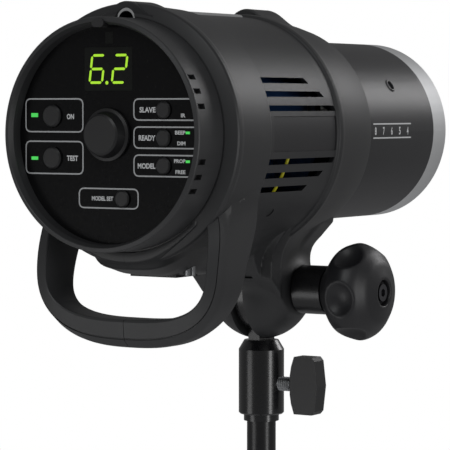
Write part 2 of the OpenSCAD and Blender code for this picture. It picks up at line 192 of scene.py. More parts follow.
def cut_away(obj, shapes, sharp=32):
    """Cuts the given (points, faces) shapes out of a piece, and applies the result to its mesh."""
    cutters = []
    for points, faces in shapes:
        mesh = bpy.data.meshes.new("cutter")
        mesh.from_pydata([head(*p) for p in points], [], faces)
        tidy(mesh)
        cutter = bpy.data.objects.new("cutter", mesh)
        bpy.context.scene.collection.objects.link(cutter)
        mod = obj.modifiers.new("cut", "BOOLEAN")
        mod.operation, mod.solver, mod.object = "DIFFERENCE", "EXACT", cutter
        cutters.append(cutter)
    bpy.context.view_layer.update()
    result = bpy.data.meshes.new_from_object(obj.evaluated_get(bpy.context.evaluated_depsgraph_get()))
    surface = obj.data.materials[0]
    obj.modifiers.clear()
    obj.data = result
    obj.data.materials.clear()
    obj.data.materials.append(surface)
    for cutter in cutters:
        bpy.data.objects.remove(cutter)
    tidy(obj.data, sharp)
    return obj


def keep_half(obj, side, sharp=32, gap=0.06):
    """Cuts a piece at the middle plane, keeps the half on one side and closes the cut."""
    bm = bmesh.new()
    bm.from_mesh(obj.data)
    cut = bmesh.ops.bisect_plane(bm, geom=bm.verts[:] + bm.edges[:] + bm.faces[:], dist=SAME_POINT,
                                 plane_co=(side * gap * MM, 0, 0), plane_no=(-side, 0, 0), clear_outer=True)
    edges = [e for e in cut["geom_cut"] if isinstance(e, bmesh.types.BMEdge)]
    bmesh.ops.holes_fill(bm, edges=edges, sides=0)
    bm.to_mesh(obj.data)
    bm.free()
    tidy(obj.data, sharp)
    return obj


def twin(obj, name, body, slot):
    """A copy of a piece under another name."""
    copy = bpy.data.objects.new(name, obj.data.copy())
    bpy.context.scene.collection.objects.link(copy)
    dress(copy, body, slot)
    return copy


# ---------------------------------------- fields of distance, for blended shapes
def smooth_min(a, b, k):
    """The smaller of two distances, blended where they are within k of each other."""
    h = np.clip(0.5 + 0.5 * (b - a) / k, 0, 1)
    return b + (a - b) * h - k * h * (1 - h)


def smooth_max(a, b, k):
    """The larger of two distances, blended where they are within k of each other."""
    return -smooth_min(-a, -b, k)


def outline_field(points, u, v):
    """Signed distance from each (u, v) to a closed outline, negative inside."""
    best = np.full(np.broadcast(u, v).shape, 1e9)
    inside = np.zeros(best.shape, bool)
    for (u0, v0), (u1, v1) in zip(points, points[1:] + points[:1]):
        du, dv = u1 - u0, v1 - v0
        t = np.clip(((u - u0) * du + (v - v0) * dv) / (du * du + dv * dv), 0, 1)
        best = np.minimum(best, np.hypot(u - u0 - t * du, v - v0 - t * dv))
        if dv:
            inside ^= ((v0 <= v) != (v1 <= v)) & (u < u0 + (v - v0) * du / dv)
    return np.where(inside, -best, best)


def skin(name, field, low, high, step, body, slot, sharp=40):
    """The zero surface of a field of distances, sampled every `step` millimetres."""
    x, y, z = np.meshgrid(*[np.arange(a, b + step, step) for a, b in zip(low, high)],
                          indexing="ij", sparse=True)
    grid = openvdb.FloatGrid(4.0)
    grid.copyFromArray(np.clip(field(x, y, z) / step, -4, 4).astype(np.float32))
    points, quads = grid.convertToQuads()
    points = points * step + np.array(low)
    return add_mesh(name, points.tolist(), quads.tolist(), body, slot, sharp)


# ---------------------------------------- materials
def material(name, colour, rough=0.5, metal=0.0, grain=0.25, bump=0.1, vary=0.15, wear=0.0, coat=0.0,
             coat_rough=0.1, glow=0.0, see_through=0.0, brushed=None, specular=0.5):
    """Procedural surface: colour varied over a few scales, grain in roughness and bump, worn edges."""
    mat = bpy.data.materials.new(name)
    mat.use_nodes = True
    nodes, links = mat.node_tree.nodes, mat.node_tree.links
    shader = nodes["Principled BSDF"]
    shader.inputs["Metallic"].default_value = metal
    shader.inputs["IOR"].default_value = 1.5
    shader.inputs["Specular IOR Level"].default_value = specular
    shader.inputs["Coat Weight"].default_value = coat
    shader.inputs["Coat Roughness"].default_value = coat_rough
    shader.inputs["Transmission Weight"].default_value = see_through
    coords = nodes.new("ShaderNodeTexCoord")
    mapping = nodes.new("ShaderNodeMapping")
    links.new(coords.outputs["Object"], mapping.inputs["Vector"])
    if brushed is not None:
        scale = [8.0, 8.0, 8.0]
        scale["xyz".index(brushed)] = 0.3
        mapping.inputs["Scale"].default_value = scale

    fine = nodes.new("ShaderNodeTexNoise")
    fine.inputs["Scale"].default_value = 1000 / grain
    fine.inputs["Detail"].default_value = 3
    broad = nodes.new("ShaderNodeTexNoise")
    broad.inputs["Scale"].default_value = 38
    broad.inputs["Detail"].default_value = 5
    links.new(mapping.outputs["Vector"], fine.inputs["Vector"])
    links.new(coords.outputs["Object"], broad.inputs["Vector"])

    tone = nodes.new("ShaderNodeMapRange")
    tone.inputs["To Min"].default_value = 1 - vary
    tone.inputs["To Max"].default_value = 1 + vary
    links.new(broad.outputs["Fac"], tone.inputs["Value"])
    paint = nodes.new("ShaderNodeMix")
    paint.data_type, paint.blend_type = "RGBA", "MULTIPLY"
    paint.inputs["Factor"].default_value = 1
    paint.inputs["A"].default_value = (*colour, 1)
    links.new(tone.outputs["Result"], paint.inputs["B"])
    last = paint.outputs["Result"]
    if wear:
        shape = nodes.new("ShaderNodeNewGeometry")
        edge = nodes.new("ShaderNodeMapRange")
        edge.inputs["From Min"].default_value = 0.53
        edge.inputs["From Max"].default_value = 0.62
        edge.inputs["To Max"].default_value = wear
        links.new(shape.outputs["Pointiness"], edge.inputs["Value"])
        worn = nodes.new("ShaderNodeMix")
        worn.data_type = "RGBA"
        worn.inputs["B"].default_value = (*[min(1, c * 3 + 0.02) for c in colour], 1)
        links.new(edge.outputs["Result"], worn.inputs["Factor"])
        links.new(last, worn.inputs["A"])
        last = worn.outputs["Result"]
    links.new(last, shader.inputs["Base Color"])
    if glow:
        links.new(last, shader.inputs["Emission Color"])
        shader.inputs["Emission Strength"].default_value = glow

    gloss = nodes.new("ShaderNodeMapRange")
    gloss.inputs["To Min"].default_value = max(0.02, rough - 0.09)
    gloss.inputs["To Max"].default_value = min(1.0, rough + 0.09)
    links.new(fine.outputs["Fac"], gloss.inputs["Value"])
    links.new(gloss.outputs["Result"], shader.inputs["Roughness"])
    if bump:
        relief = nodes.new("ShaderNodeBump")
        relief.inputs["Strength"].default_value = bump
        relief.inputs["Distance"].default_value = 0.0002
        links.new(fine.outputs["Fac"], relief.inputs["Height"])
        links.new(relief.outputs["Normal"], shader.inputs["Normal"])
    return mat


# Colour and surface of each material slot
LOOKS = {
    "casing": ((0.024, 0.0245, 0.026), dict(rough=0.46, grain=0.35, bump=0.25, vary=0.12, wear=0.10)),
    "bezel": ((0.027, 0.0275, 0.029), dict(rough=0.44, grain=0.35, bump=0.22, vary=0.12, wear=0.12)),
    "panel": ((0.0045, 0.0045, 0.005), dict(rough=0.24, grain=1.5, bump=0.02, vary=0.10,
                                            specular=0.15)),
    "window": ((0.003, 0.004, 0.003), dict(rough=0.30, grain=1.5, bump=0.01, vary=0.10, specular=0.25)),
    "display": ((0.010, 0.014, 0.010), dict(rough=0.5, vary=0.2)),
    "dial": ((0.009, 0.009, 0.010), dict(rough=0.40, grain=0.3, bump=0.18, vary=0.10, wear=0.15)),
    "button": ((0.010, 0.010, 0.011), dict(rough=0.38, grain=0.3, bump=0.15, vary=0.10, wear=0.15)),
    "lamp_green": ((0.08, 0.75, 0.12), dict(rough=0.25, vary=0.25, glow=0.45)),
    "circuit_board": ((0.02, 0.12, 0.05), dict(rough=0.35, grain=1.2, bump=0.2, vary=0.3)),
    "inner_plastic": ((0.016, 0.016, 0.019), dict(rough=0.55, bump=0.2, vary=0.2)),
    "tube_steel": ((0.78, 0.79, 0.80), dict(rough=0.18, metal=1, grain=0.5, bump=0.04, brushed="y")),
    "plate": ((0.018, 0.018, 0.020), dict(rough=0.42, grain=0.5, bump=0.2, vary=0.12)),
    "barrel": ((0.020, 0.020, 0.022), dict(rough=0.42, grain=0.3, bump=0.12, vary=0.10, wear=0.1)),
    "ring_metal": ((0.56, 0.57, 0.58), dict(rough=0.62, metal=1, grain=0.4, bump=0.10, vary=0.10,
                                            wear=0.3)),
    "front_glass": ((0.92, 0.95, 0.96), dict(rough=0.30, grain=1.2, bump=0.2, see_through=0.9)),
    "reflector": ((0.75, 0.76, 0.78), dict(rough=0.25, metal=1, grain=2.5, bump=0.3)),
    "quartz": ((0.95, 0.97, 1.0), dict(rough=0.06, see_through=0.9, bump=0.02)),
    "lamp_glass": ((0.97, 0.95, 0.88), dict(rough=0.35, see_through=0.6, bump=0.05)),
    "ceramic": ((0.80, 0.77, 0.70), dict(rough=0.7, grain=0.6, bump=0.2, vary=0.08)),
    "capacitor_sleeve": ((0.03, 0.08, 0.22), dict(rough=0.25, bump=0.03, vary=0.1)),
    "steel": ((0.36, 0.37, 0.38), dict(rough=0.36, metal=1, grain=0.4, bump=0.12, vary=0.12)),
    "copper_winding": ((0.45, 0.20, 0.08), dict(rough=0.3, metal=1, grain=1.0, bump=0.3)),
    "inlet": ((0.010, 0.010, 0.011), dict(rough=0.22, bump=0.05, vary=0.1)),
    "spacer": ((0.007, 0.007, 0.008), dict(rough=0.30, grain=0.4, bump=0.06, vary=0.1, wear=0.1)),
    "knob": ((0.014, 0.014, 0.016), dict(rough=0.42, grain=0.35, bump=0.2, vary=0.1, wear=0.15)),
    "screw": ((0.10, 0.10, 0.11), dict(rough=0.35, metal=1, bump=0.1)),
    "friction": ((0.10, 0.08, 0.06), dict(rough=0.8, grain=0.8, bump=0.4)),
    "socket_paint": ((0.006, 0.006, 0.007), dict(rough=0.26, grain=1.0, bump=0.05, vary=0.1,
                                                 coat=0.3, coat_rough=0.16, wear=0.12)),
    "brass_pad": ((0.60, 0.42, 0.16), dict(rough=0.3, metal=1, bump=0.1)),
    "wing": ((0.011, 0.011, 0.012), dict(rough=0.45, grain=0.35, bump=0.2, vary=0.1, wear=0.15)),
}
MATERIALS = {slot: material(slot, colour, **options) for slot, (colour, options) in LOOKS.items()}
PRINT = {
    "white": material("print_white", (0.66, 0.67, 0.68), rough=0.5, vary=0.06, bump=0.02),
    "grey": material("print_grey", (0.45, 0.46, 0.47), rough=0.5, vary=0.06, bump=0.02),
    "lime": material("display_lime", (0.42, 0.80, 0.03), rough=0.4, vary=0.05, bump=0.0, glow=0.5),
    # The lead's ink glows faintly yellow: a painted glint for the light seen through the cooling slots, not a
    # lamp
    "lead": material("lead_painted_glint", (0.45, 0.42, 0.02), rough=0.4, vary=0.1, bump=0.02, glow=0.15),
}

# ---------------------------------------- camera, lights, floor
camera = bpy.data.objects.new("camera", bpy.data.cameras.new("camera"))
camera.data.lens = 192
camera.data.sensor_width = 36
camera.location = (0.6734, -1.1213, 0.1719)
camera.rotation_euler = (math.radians(87.15), 0, math.radians(31.86))
bpy.context.scene.collection.objects.link(camera)
bpy.context.scene.camera = camera


def area_light(name, place, target, size, power, colour=(1, 1, 1)):
    """Rectangular lamp at a place in metres, turned to its target."""
    data = bpy.data.lights.new(name, "AREA")
    data.shape, data.size, data.size_y = "RECTANGLE", size[0], size[1]
    data.energy, data.color = power, colour
    light = bpy.data.objects.new(name, data)
    light.location = place
    light.rotation_euler = (Vector(target) - Vector(place)).to_track_quat("-Z", "Y").to_euler()
    bpy.context.scene.collection.objects.link(light)


def studio_world(backdrop, fill):
    """White backdrop of strength `backdrop`, which lights the object with only `fill`."""
    world = bpy.data.worlds.new("studio")
    world.use_nodes = True
    nodes, links = world.node_tree.nodes, world.node_tree.links
    path = nodes.new("ShaderNodeLightPath")
    strength = nodes.new("ShaderNodeMapRange")
    strength.inputs["To Min"].default_value = fill
    strength.inputs["To Max"].default_value = backdrop
    links.new(path.outputs["Is Camera Ray"], strength.inputs["Value"])
    nodes["Background"].inputs["Color"].default_value = (1, 1, 1, 1)
    links.new(strength.outputs["Result"], nodes["Background"].inputs["Strength"])
    return world


bpy.context.scene.world = studio_world(1.0, 0.20)
bpy.context.scene.view_settings.view_transform = "Standard"

HEAD_MIDDLE = (0, -0.02, 0.14)
area_light("key_front", (0.62, 1.43, 0.78), HEAD_MIDDLE, (0.6, 0.45), 4.6, (1.0, 0.99, 1.0))
area_light("fill_rear", (0.35, -1.5, 1.35), HEAD_MIDDLE, (0.8, 0.8), 7, (0.97, 0.99, 1.0))
area_light("card_low", (-0.9, -1.5, -0.5), HEAD_MIDDLE, (0.8, 0.8), 4)
area_light("strip_side", (1.52, -0.33, 0.05), (0, 0, 0.03), (0.34, 0.9), 5)

FLOOR_Z, FLOOR_HALF = -0.9, 3.0
floor_data = bpy.data.meshes.new("floor")
floor_corners = [(x * FLOOR_HALF, y * FLOOR_HALF, FLOOR_Z) for x, y in ((-1, -1), (1, -1), (1, 1), (-1, 1))]
floor_data.from_pydata(floor_corners, [], [(0, 1, 2, 3)])
floor = bpy.data.objects.new("floor", floor_data)
floor_data.materials.append(material("floor_pale", (0.86, 0.86, 0.87), rough=0.8, bump=0.0, vary=0.02))
bpy.context.scene.collection.objects.link(floor)

# The stand that carries the head isn't part of the object
POLE_R = 7.9
POLE_FOOT, POLE_TOP = (FLOOR_Z - AXIS_Z) / MM, -131
POLE_PROFILE = [(POLE_FOOT, 0.01), (POLE_FOOT, POLE_R), (-160, POLE_R), (POLE_TOP - 2, POLE_R),
                (POLE_TOP, POLE_R - 2), (POLE_TOP, 0.01)]
pole_points, pole_faces = lathe(POLE_PROFILE, 64,
                                place=lambda h, r, a: (r * math.cos(a), TILT_Y + r * math.sin(a), h))
pole_mesh = bpy.data.meshes.new("stand_pole")
pole_mesh.from_pydata([head(*p) for p in pole_points], [], pole_faces)
tidy(pole_mesh)
pole_mesh.materials.append(MATERIALS["spacer"])
pole = bpy.data.objects.new("stand_pole", pole_mesh)
bpy.context.scene.collection.objects.link(pole)

# ---------------------------------------- CAD nodes keep their shape and get finishes
for part in frame["record"]["subparts"]:
    node = frame["nodes"][part["node"]]
    node.data.materials.clear()
    node.data.materials.append(MATERIALS[part["material_slot"]])

# ---------------------------------------- casing shell
BAND_END, WAIST_END, COLLAR_END = 60.6, 129.6, 176.0
# Each profile point is (depth, radius); the second list rounds the first one's corners
CASING_OUTER = [(22.6, 58.5), (24.8, 64.7), (26.0, FLANGE_R), (28.4, FLANGE_R), (31.0, 64.9),
                (BAND_END - 2, 63.7), (BAND_END - 0.4, 62.9), (BAND_END, WAIST_R), (WAIST_END, WAIST_R),
                (WAIST_END + 1.0, 62.8), (WAIST_END + 3.4, 63.2), (WAIST_END + 6.0, 62.8),
                (WAIST_END + 7.2, 61.9), (150, 60.9), (163, 59.4), (173.6, 57.7), (COLLAR_END, 56.2),
                (COLLAR_END, 50.2)]
CASING_OUTER_ROUND = [0.3, 0.8, 1.2, 1.2, 1.5, 1.2, 0.6, 0.5, 0.8, 1, 1.5, 1, 0.8, 0, 0, 1.6, 0.9, 0.2]
CASING_INNER = [(COLLAR_END - 4, 50.2), (COLLAR_END - 4, 54.6), (138, 58.9), (30, 58.9), (26, 55.8),
                (22.6, 55.8)]
# Each cooling slot: middle height, length, and the side its slanted front end leans to
SLOTS = [(27.1, 45.9, 1), (20.2, 57.4, 1), (13.0, 67.4, 0.4), (-13.9, 66.9, -0.4), (-20.8, 56.9, -1),
         (-28.0, 45.4, -1)]
SLOT_HALF = 1.45
# Each screw recess: depth, angle below the side, radius of its floor
SCREW_SEATS = [(44.2, 32.8, 61.6), (86, 41, 60.85)]
SCREW_HOLE_R = 2.7
PLATE_HALF, PLATE_START, PLATE_END, PLATE_SUNK = 8.35, 65.4, 128.7, 0.9
TUBE_Z, TUBE_R = 57.0, 6.0


def slot_outline(z, length, lean):
    """(y, z) outline of one cooling slot with its slanted front end."""
    y0, y1 = BAND_END + 0.8, BAND_END + 0.8 + length
    low, high = z - SLOT_HALF, z + SLOT_HALF
    return [(y0, low), (y1 + SLOT_HALF * lean, low), (y1 - SLOT_HALF * lean, high), (y0, high)]


def casing_shell():
    """Both halves of the casing in one: turned shell with slots, recesses, tube groove and name plates."""
    profile = round_corners(CASING_OUTER, CASING_OUTER_ROUND) + CASING_INNER
    points, faces = lathe(profile, 256)
    shell = add_mesh("casing_shell", points, faces, "head", "casing")
    cuts = []
    for side in (-1, 1):
        for slot_place in SLOTS:
            cuts.append(prism(slot_outline(*slot_place), side * 40, side * 70))
        for depth, angle, seat in SCREW_SEATS:
            way = Vector((side * math.cos(math.radians(angle)), 0, -math.sin(math.radians(angle))))
            cuts.append(disc_prism(way * seat + Vector((0, depth, 0)), way, SCREW_HOLE_R, 12))
    cuts.append(disc_prism((0, 15, TUBE_Z), (0, 1, 0), TUBE_R + 0.05, 175, 64))
    cut_away(shell, cuts)
    sunk = WAIST_R - PLATE_SUNK
    plate_profile = [(PLATE_START, sunk), (PLATE_START, 68), (PLATE_END, 68), (PLATE_END, sunk)]
    plates = [lathe(plate_profile, 12, side - PLATE_HALF, 2 * PLATE_HALF) for side in (90, 270)]
    return cut_away(shell, plates)


shell = casing_shell()
shell.name = "casing_shell_right"
left_shell = twin(shell, "casing_shell_left", "head", "casing")
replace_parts(keep_half(shell, 1), "casing_right")
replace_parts(keep_half(left_shell, -1), "casing_left")

# ---------------------------------------- neck, belly and hub
BELLY = [(27, -40), (27, -66.7), (38, -70.7), (55, -73), (100, -73.4), (106, -72), (109, -69), (112, -40)]
BELLY_HALF = 26
# Depth where the casing starts to narrow towards the collar, and how fast it does
NARROW_FROM, NARROW_RATE = 137, 0.105
CASING_INSIDE_R = 58.8
NECK = [(108, -40), (111, -58), (114, -68), (118, -74), (124, -79), (134, -88), (145, -96.7), (169, -96.7),
        (174, -84.7), (176, -64.7), (175.5, -40)]
# Half width of the neck along the depth: the rear web, the two front straps, the narrowing front
NECK_DEPTHS, NECK_HALVES = [95, 122, 123.6, 133.6, 137, 170, 177], [19, 19.5, 25, 25, 23, 20.6, 19.4]
# Front edge of the neck, as half width and height: it flares out to the collar
FLARE = [(0, -80), (13, -80), (13.5, -75), (16, -68), (20.5, -62), (26.5, -57), (34, -49), (34, -42),
         (0, -42)]
FLARE_Y = 160
HUB_R, HUB_FLAT, CHEEK_GAP, TONGUE_R = 28.0, 25.3, 4.6, 24.1


def under_casing(y, inset):
    """Radius a little under the casing's surface, which narrows towards the collar."""
    return WAIST_R - inset - np.clip(y - NARROW_FROM, 0, 60) * NARROW_RATE


def bracket_field(x, y, z):
    """Belly, neck and ball-shaped hub, blended into the underside of the casing."""
    x = np.abs(x)
    body = np.hypot(x, z) - (under_casing(y, 0.35) - np.clip(y - 172, 0, 6) * 0.5)
    belly = smooth_max(outline_field(BELLY, y, z) + 0.4, x - BELLY_HALF, 20)
    neck = smooth_max(outline_field(NECK, y, z) + 0.4, x - np.interp(y, NECK_DEPTHS, NECK_HALVES), 1.6)
    hub = np.sqrt(x ** 2 + (y - TILT_Y) ** 2 + (z + TILT_DROP) ** 2) - HUB_R
    hub = smooth_max(hub, x - HUB_FLAT, 1.2)
    limb = smooth_min(smooth_min(neck, hub, 4), belly, 5)
    joined = smooth_min(limb, body, 15)
    joined = np.maximum(joined, limb - 17)
    flare = smooth_max(outline_field(FLARE, x, z) + 0 * y, FLARE_Y - y, 3)
    inside = CASING_INSIDE_R - np.hypot(x, z) - np.clip(y - NARROW_FROM, 0, 60) * 0.1
    joined = np.maximum(smooth_min(joined, flare, 4), inside)
    joined = smooth_max(joined, y - (COLLAR_END - 0.2), 2.5)
    return np.maximum(joined, z + 12)


bracket = skin("bracket_right", bracket_field, (-66, 22, -116), (66, 180, -8), 0.8, "head", "casing")
# Room for the tongue as the head tilts, nut recess, stud bore, mains inlet, fuse drawer, sync socket
HUB_Z = -TILT_DROP
TONGUE_SWING = [(TILT_Y - 60, HUB_Z - 60), (TILT_Y + 40, HUB_Z - 60), (TILT_Y + 40, HUB_Z),
                (TILT_Y + 40, HUB_Z + 12), (TILT_Y, HUB_Z + 12), (TILT_Y - 60, HUB_Z)]
bracket_cuts = [
    disc_prism((-CHEEK_GAP, TILT_Y, HUB_Z), (1, 0, 0), TONGUE_R, 2 * CHEEK_GAP, 96),
    prism(TONGUE_SWING, -CHEEK_GAP, CHEEK_GAP),
    disc_prism((-16, TILT_Y, HUB_Z), (-1, 0, 0), 9, 30),
    disc_prism((-40, TILT_Y, HUB_Z), (1, 0, 0), 5.2, 80),
    prism([(48, -90), (68.2, -90), (68.2, -52), (48, -52)], -14, 14),
    prism([(68, -90), (74.6, -90), (74.6, -52), (68, -52)], -8.1, 8.1),
    disc_prism((19.6, 52, -84), (0, 0, 1), 3.2, 26),
]
POCKET = [(110, -77.5), (124.5, -77.5), (113, -70)]
for pocket_side in (-1, 1):
    bracket_cuts.append(prism(POCKET, pocket_side * 8.5, pocket_side * 14))
cut_away(bracket, bracket_cuts, sharp=40)
left_bracket = twin(bracket, "bracket_left", "head", "casing")
keep_half(bracket, 1, 40)
keep_half(left_bracket, -1, 40)

# ---------------------------------------- lugs that carry the umbrella tube
# Each lug: the depths of its ends, its half width and how far its arch is lifted over the tube's axis
LUGS = {"tube_lug_rear": (23.2, 50, 9.2, 0.0), "tube_lug_front": (138, 166, 9.0, 0.2)}


def lug(name, y0, y1, half, lift):
    """Arched lug round the tube; its rear end is cut flat and its front end runs down in a soft slope."""
    def field(x, y, z):
        top = TUBE_Z + lift
        arch = np.where(z > top, np.hypot(x, z - top), np.abs(x)) - half
        slope = (z - top - half) * 0.42 + (y - y1) * 0.9
        block = smooth_max(smooth_max(arch, y0 - y, 1.0), slope, 6)
        body = np.hypot(x, z) - under_casing(y, 0.3)
        joined = smooth_min(block, body, 7)
        joined = np.maximum(joined, np.maximum(block - 8, y0 - y))
        return np.maximum(np.maximum(joined, 53 - z), 56.5 - np.hypot(x, z))
    piece = skin(name, field, (-24, y0 - 6, 50), (24, y1 + 18, 69), 0.6, "head", "casing")
    cut = disc_prism((0, y0 - 20, TUBE_Z), (0, 1, 0), TUBE_R + 0.06, 90, 96)
    return cut_away(piece, [cut], sharp=40)


for lug_name, lug_sizes in LUGS.items():
    lug(lug_name, *lug_sizes)


# ---------------------------------------- handle
HANDLE_CENTRE = -65.0
# Half width, depth below the centre, height above it and roundness of the handle's two curves
HANDLE_CURVES = {"outer": (55.2, 42.0, 56.0, 2.6), "inner": (48.2, 27.4, 45.0, 3.0)}
# Height along the leg, and there the depth of the rear face, the ridge, and the front edge
LEG_HEIGHTS = [-107, -96, -84, -76, -63, -55, -44]
LEG_REAR = [21.0, 20.8, 20.6, 20.8, 22.0, 23.4, 25.2]
LEG_RIDGE = [21.5, 21.5, 21.6, 21.8, 23.1, 24.8, 27.6]
LEG_FRONT = [38.0, 38.0, 43.0, 46.5, 50.5, 54.8, 59.8]
RIDGE_W = [0.62, 0.64, 0.72, 0.80, 0.86, 0.86, 0.86]
LEG_FILLET = 30


def handle_curve(which, t):
    """(x, z) at angle t degrees on the handle's outer or inner curve; 270 is the lowest point."""
    a, b_low, b_high, n = HANDLE_CURVES[which]
    c, s = math.cos(math.radians(t)), math.sin(math.radians(t))
    b = b_low if s < 0 else b_high
    across, up = math.copysign(abs(c) ** (2 / n), c), math.copysign(abs(s) ** (2 / n), s)
    return (a * across, HANDLE_CENTRE + b * up)


def smooth_interp(height, values):
    """Value along the leg, averaged over a short stretch so that it bends softly."""
    return float(np.mean([np.interp(height + d, LEG_HEIGHTS, values) for d in (-5, -3, -1, 1, 3, 5)]))


def leg_outside(x, y, z, ridge):
    """Outer x of the upper leg: it flares in a fillet until it lies just under the casing's band."""
    band = np.interp(y, [28.4, 31, BAND_END], [FLANGE_R, 64.9, 63.7]) - 0.12
    half = HANDLE_CURVES["outer"][0]
    centre_z = -math.sqrt((band + LEG_FILLET) ** 2 - (half + LEG_FILLET) ** 2)
    touch_z = centre_z * band / (band + LEG_FILLET)
    if z < centre_z:
        flared = half
    elif z < touch_z:
        flared = half + LEG_FILLET - math.sqrt(LEG_FILLET ** 2 - (z - centre_z) ** 2)
    else:
        flared = math.sqrt(band ** 2 - z ** 2)
    share = min(1.0, max(0.0, (y - ridge - 1) / 9))
    share = share * share * (3 - 2 * share)
    return math.copysign(abs(x) + (flared - abs(x)) * share, x)


def handle_section(t):
    """Closed loop of the handle's section: flat rear face, thin groove, sloped outer face, round front."""
    (xo, zo), (xi, zi) = handle_curve("outer", t), handle_curve("inner", t)
    height = (zo + zi) / 2
    rear, ridge, front, w = [smooth_interp(height, v) for v in (LEG_REAR, LEG_RIDGE, LEG_FRONT, RIDGE_W)]
    loop = [(0, rear + 1.3), (0.02, rear + 0.4), (0.09, rear), (w, ridge), (w + 0.015, ridge + 0.7),
            (w + 0.05, ridge + 0.7), (w + 0.06, ridge + 0.1), (0.96, ridge + 4.2), (0.99, ridge + 5.6),
            (1.0, ridge + 7.5), (1.0, (ridge + 7.5 + front - 2.5) / 2), (1.0, front - 2.5),
            (0.96, front - 0.7), (0.84, front), (0.2, front), (0.06, front - 0.6), (0, front - 2)]
    points = [(xi + (xo - xi) * u, y, zi + (zo - zi) * u) for u, y in loop]
    if zo > HANDLE_CENTRE:
        points = [(leg_outside(x, y, z, ridge), y, z) if u > 0.9 else (x, y, z)
                  for (x, y, z), (u, _) in zip(points, loop)]
    return points


# Coarse steps up the legs, finer ones round the grip
HANDLE_ANGLES = [*range(142, 180, 3), *range(180, 361, 2), *range(363, 399, 3)]
handle_loops = [handle_section(t) for t in HANDLE_ANGLES]
handle_points, handle_faces = loops_to_mesh(handle_loops)
handle = add_mesh("handle_shell_right", handle_points, handle_faces, "head", "casing", sharp=24)
left_handle = twin(handle, "handle_shell_left", "head", "casing")
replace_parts(keep_half(handle, 1, 24, gap=0.15), "handle_right")
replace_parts(keep_half(left_handle, -1, 24, gap=0.15), "handle_left")


# ---------------------------------------- knob, thread and contacts
KNOB_X, KNOB_LEN, KNOB_R = _knob_low.x / MM, (_knob_high.x - _knob_low.x) / MM, 25.8
KNOB_CORNERS = [(0, 0), (0, 12.6), (2.5, 15.5), (9, KNOB_R - 2), (18.6, KNOB_R + 0.9),
                (25.5, KNOB_R - 2.4), (30.5, KNOB_R - 9.5), (KNOB_LEN - 0.1, 7), (KNOB_LEN - 0.3, 0)]
KNOB_PROFILE = round_corners(KNOB_CORNERS, [0, 0, 6, 12, 12, 12, 12, 6, 0], 6)
# The ball-shaped cuts in the knob's side: count, radius, centre's distance from the axis and place on it
SCALLOPS, SCALLOP_R, SCALLOP_OUT, SCALLOP_AT, SCALLOP_TURN = 6, 12.2, KNOB_R + 6.6, 18.6, -6
DISH_R, DISH_DEPTH = 6.9, 4


def knob_field(x, y, z):
    """Round knob with soft ball-shaped scallops in its side and a dished middle."""
    along, across, up = x - KNOB_X, y - TILT_Y, z + TILT_DROP
    body = outline_field(KNOB_PROFILE, along, np.hypot(across, up))
    for i in range(SCALLOPS):
        turn = math.radians(SCALLOP_TURN + 360 / SCALLOPS * i)
        scallop = np.sqrt((along - SCALLOP_AT) ** 2 + (across + SCALLOP_OUT * math.cos(turn)) ** 2
                          + (up - SCALLOP_OUT * math.sin(turn)) ** 2) - SCALLOP_R
        body = smooth_max(body, -scallop, 1.2)
    dish = np.maximum(np.hypot(across, up) - DISH_R, KNOB_LEN - DISH_DEPTH - along)
    return smooth_max(body, -dish, 1.4)


knob = skin("knob_grip", knob_field, (KNOB_X - 2, TILT_Y - 29, HUB_Z - 29),
            (KNOB_X + KNOB_LEN + 2, TILT_Y + 29, HUB_Z + 29), 0.6, "tilt_knob", "knob", sharp=50)
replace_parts(knob, "tilt_knob")

_stud_low, _stud_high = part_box("lock_stud")
STUD_X0, STUD_X1 = _stud_low.x / MM, _stud_high.x / MM
STUD_Z = (_stud_low.z + _stud_high.z) / 2 / MM - AXIS_Z / MM
STUD_R = (_stud_high.z - _stud_low.z) / 2 / MM
THREAD_PITCH, THREAD_DEPTH = 1.25, 0.62


def threaded_stud():
    """Screw with a true helical thread along its whole length."""
    sides, per_turn = 40, 6
    rows = int((STUD_X1 - STUD_X0) / THREAD_PITCH * per_turn)
    loops = []
    for row in range(rows + 1):
        along = (STUD_X1 - STUD_X0) * row / rows
        loop = []
        for i in range(sides):
            phase = (along / THREAD_PITCH - i / sides) % 1
            r = STUD_R - THREAD_DEPTH * (1 - abs(2 * phase - 1))
            if row in (0, rows):
                r = STUD_R - THREAD_DEPTH
            a = 2 * math.pi * i / sides
            loop.append((STUD_X0 + along, TILT_Y + r * math.cos(a), STUD_Z + r * math.sin(a)))
        loops.append(loop)
    points, faces = loops_to_mesh(loops)
    return add_mesh("threaded_stud", points, faces, "wing_screw", "steel", sharp=60)


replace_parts(threaded_stud(), "lock_stud")


# ---------------------------------------- screw surrounds, and the glowing lead behind the slots that carries a painted glint
RING_PROUD, RING_DEEP = 0.55, 1.2
ROD_SIDES = 12


def screw_surround(name, side, depth, angle, surface, r_in, r_out, slot):
    """Flat ring round a screw in the side of the head, a little proud of the surface."""
    way = Vector((side * math.cos(math.radians(angle)), 0, math.sin(math.radians(angle))))
    round_way = Vector((0, 1, 0)).cross(way)
    profile = [(-RING_DEEP, r_in), (0.3, r_in), (RING_PROUD, r_in + 0.3), (RING_PROUD, r_out - 0.6),
               (0.0, r_out), (-RING_DEEP, r_out)]

    def place(out, r, a):
        turned = Vector((0, 1, 0)) * math.cos(a) + round_way * math.sin(a)
        return way * (surface + out) + Vector((0, depth, 0)) + turned * r
    points, faces = lathe(profile, 40, place=place)
    add_mesh(name, points, faces, "head", slot)


for side, side_name in ((-1, "left"), (1, "right")):
    screw_surround("barrel_screw_ring_" + side_name, side, 222.6, 30.7, BARREL_R, 2.45, 3.9, "barrel")
    screw_surround("casing_screw_ring_" + side_name, side, 44.2, -32.8, 64.35, 2.75, 4.1, "casing")


